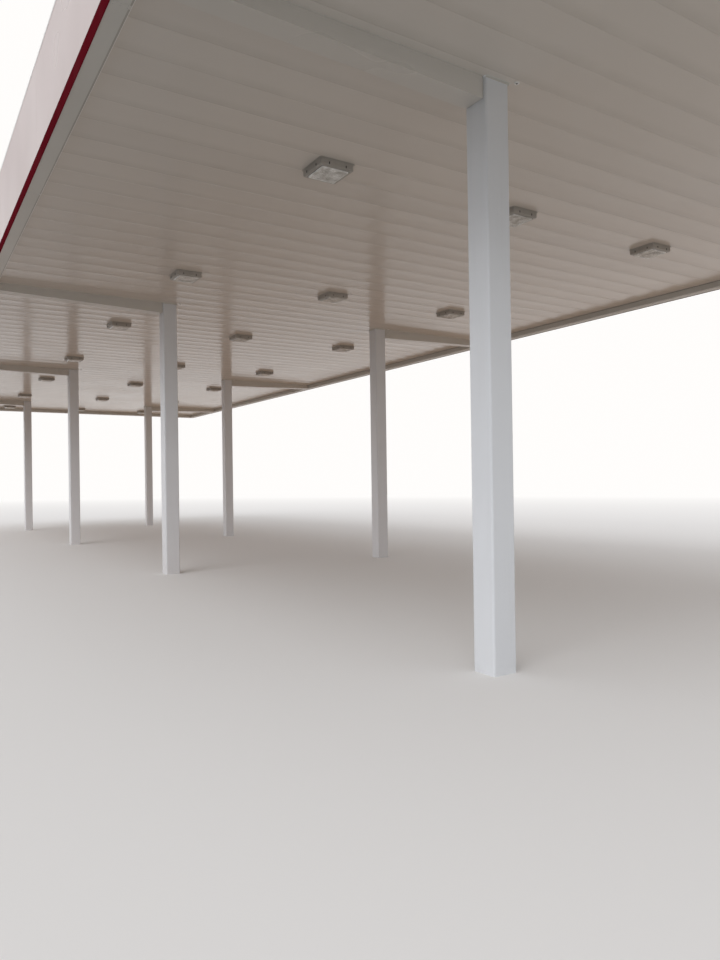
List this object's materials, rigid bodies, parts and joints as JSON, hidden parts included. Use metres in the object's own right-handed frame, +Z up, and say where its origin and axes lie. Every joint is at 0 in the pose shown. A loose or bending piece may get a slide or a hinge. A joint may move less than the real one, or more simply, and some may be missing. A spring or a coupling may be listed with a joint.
{
  "type": "filling station canopy",
  "caption": "Filling station canopy: square steel columns in two rows carry a flat panelled roof with a gutter, a tall white fascia with a red band, and square lights under the deck.",
  "frame": {"origin": "centre of the plan at ground level", "axes": "+Y along the two rows of columns, +X across them, +Z up"},
  "size_m": [10.552, 31.6992, 5.858],
  "materials": {
    "column_white": "semi-gloss white paint",
    "deck_white": "gloss white factory paint",
    "gutter_white": "satin white paint",
    "fascia_white": "gloss white composite panel",
    "band_red": "gloss deep red",
    "primed_steel": "matt grey primer",
    "light_grey": "satin grey-white",
    "light_lens": "frosted lens"
  },
  "bodies": {
    "root": {"column_left_1": "column_white", "column_left_2": "column_white", "column_left_3": "column_white", "column_left_4": "column_white", "column_right_1": "column_white", "column_right_2": "column_white", "column_right_3": "column_white", "column_right_4": "column_white", "cap_plates": "primed_steel", "drain_leaders": "gutter_white", "deck_front": "deck_white", "deck_bay_1": "deck_white", "deck_bay_2": "deck_white", "deck_bay_3": "deck_white", "deck_back": "deck_white", "cross_beam_1": "primed_steel", "cross_beam_2": "primed_steel", "cross_beam_3": "primed_steel", "cross_beam_4": "primed_steel", "purlin_1": "primed_steel", "purlin_2": "primed_steel", "purlin_3": "primed_steel", "purlin_4": "primed_steel", "edge_beam_left": "primed_steel", "gutter_left": "gutter_white", "fascia_left": "fascia_white", "red_band_left": "band_red", "fascia_frame_left": "primed_steel", "edge_beam_right": "primed_steel", "gutter_right": "gutter_white", "fascia_right": "fascia_white", "red_band_right": "band_red", "fascia_frame_right": "primed_steel", "edge_beam_front": "primed_steel", "gutter_front": "gutter_white", "fascia_front": "fascia_white", "red_band_front": "band_red", "fascia_frame_front": "primed_steel", "edge_beam_back": "primed_steel", "gutter_back": "gutter_white", "fascia_back": "fascia_white", "red_band_back": "band_red", "fascia_frame_back": "primed_steel", "light_housings": "light_grey", "light_lenses": "light_lens"}
  },
  "joints": []
}
